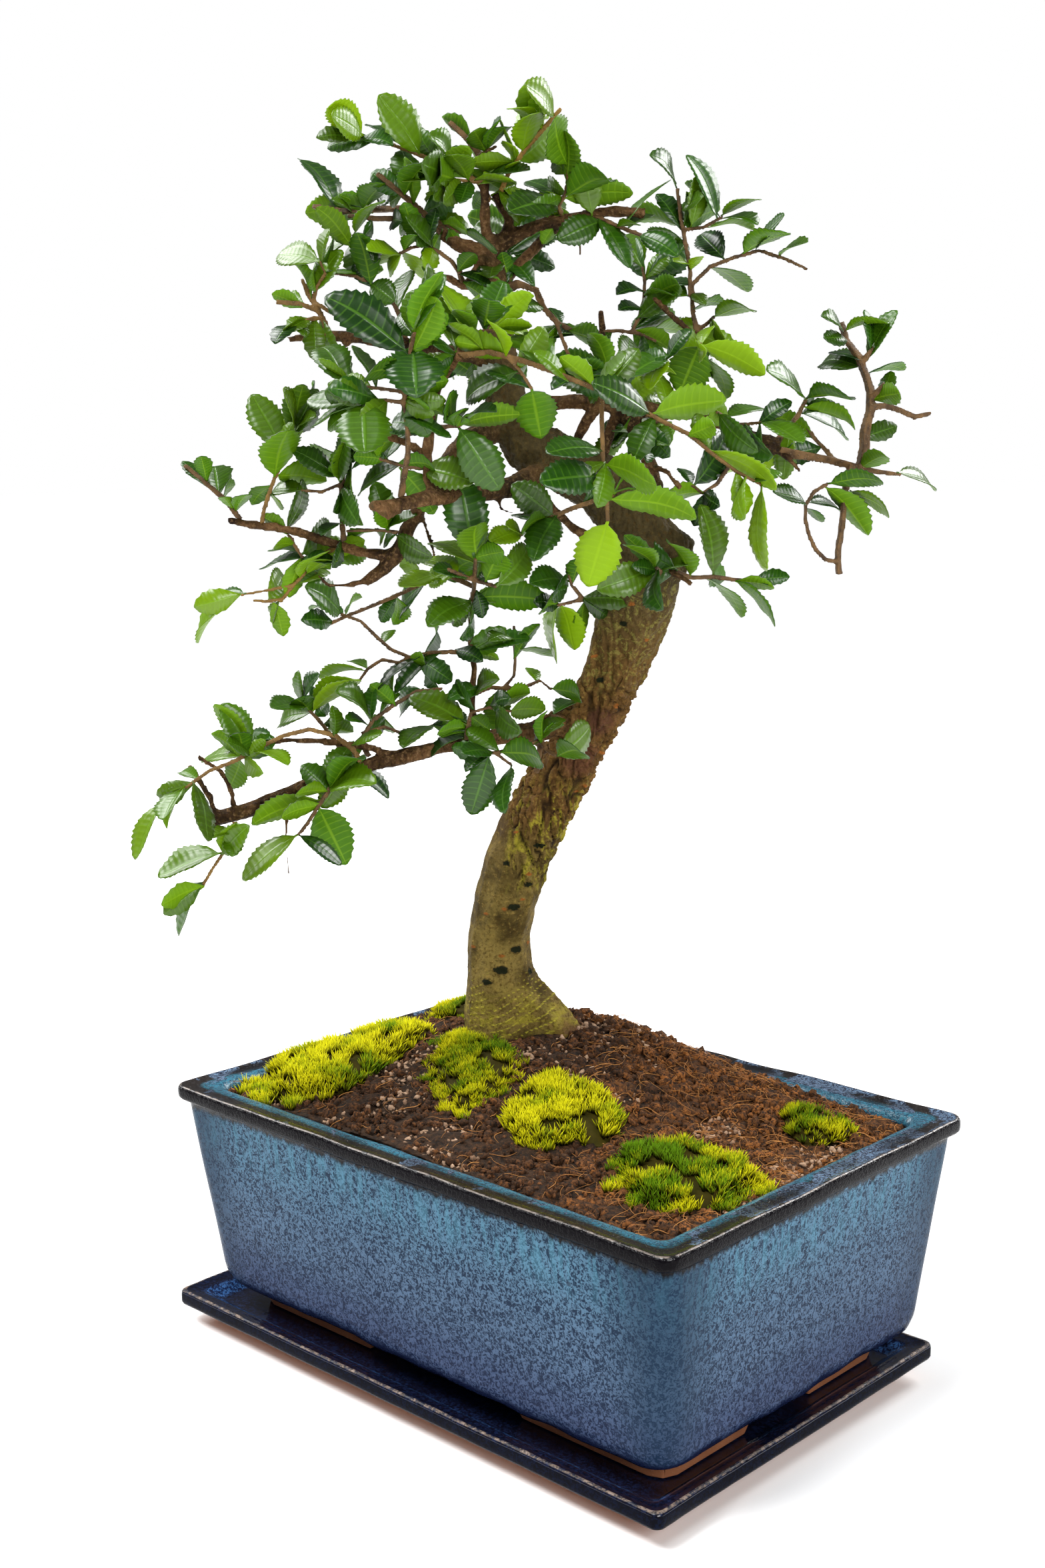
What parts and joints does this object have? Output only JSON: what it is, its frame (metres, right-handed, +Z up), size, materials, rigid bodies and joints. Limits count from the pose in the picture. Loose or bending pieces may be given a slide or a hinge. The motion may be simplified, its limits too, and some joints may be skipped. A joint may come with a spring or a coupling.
{
  "type": "bonsai tree in a pot",
  "caption": "Small-leaved bonsai tree with a twisting trunk, rooted in mossy soil in a glazed rectangular pot on a shallow saucer.",
  "frame": {"origin": "on the underside of the saucer, below the middle of the pot", "axes": "+Z up; +X along the long side of the pot, towards the limb that hangs low; the tree is seen from -Y"},
  "size_m": [0.2439, 0.2162, 0.4439],
  "materials": {
    "saucer_glaze": "gloss",
    "pot_glaze": "gloss",
    "net": "matte",
    "soil": "matte",
    "moss": "matte",
    "bark": "matte",
    "foliage": "satin"
  },
  "bodies": {
    "root": {"saucer": "saucer_glaze", "pot": "pot_glaze", "drain_mesh": "net", "soil": "soil", "moss_left": "moss", "moss_back": "moss", "moss_middle": "moss", "moss_front": "moss", "moss_right": "moss", "moss_small": "moss", "tree_wood": "bark", "spray_top_left": "foliage", "spray_top_left_cut": "foliage", "spray_top_twin": "foliage", "spray_crown_tip": "foliage", "spray_crown_core": "foliage", "spray_top_yellow": "foliage", "spray_top_mid": "foliage", "spray_top_right": "foliage", "spray_mid_right": "foliage", "spray_right_up": "foliage", "spray_right_front": "foliage", "spray_center": "foliage", "spray_front_long": "foliage", "spray_front_mid": "foliage", "spray_front_left": "foliage", "spray_front_fan": "foliage", "spray_left_stem": "foliage", "spray_left_tip": "foliage", "spray_left_under": "foliage", "spray_left_low": "foliage", "spray_left_inner": "foliage", "spray_left_mid": "foliage", "spray_left_back": "foliage", "spray_hang": "foliage", "spray_low_twig": "foliage", "spray_front_low": "foliage", "spray_mid_yellow": "foliage", "spray_trunk_left": "foliage", "spray_thread": "foliage", "spray_low_trunk": "foliage", "spray_low_top": "foliage", "spray_low_mid": "foliage", "spray_low_cluster": "foliage", "spray_low_stem": "foliage", "spray_low_tip": "foliage", "spray_low_hang": "foliage", "spray_upleft_end": "foliage", "spray_upleft_in": "foliage", "spray_top_inner": "foliage", "spray_right_mid": "foliage", "spray_right_low": "foliage", "spray_right_twig": "foliage", "spray_right_outer": "foliage", "spray_knee": "foliage", "spray_knee_front": "foliage", "spray_knee_right": "foliage", "spray_far_middle": "foliage", "spray_far_left": "foliage", "spray_far_top": "foliage"}
  },
  "joints": []
}
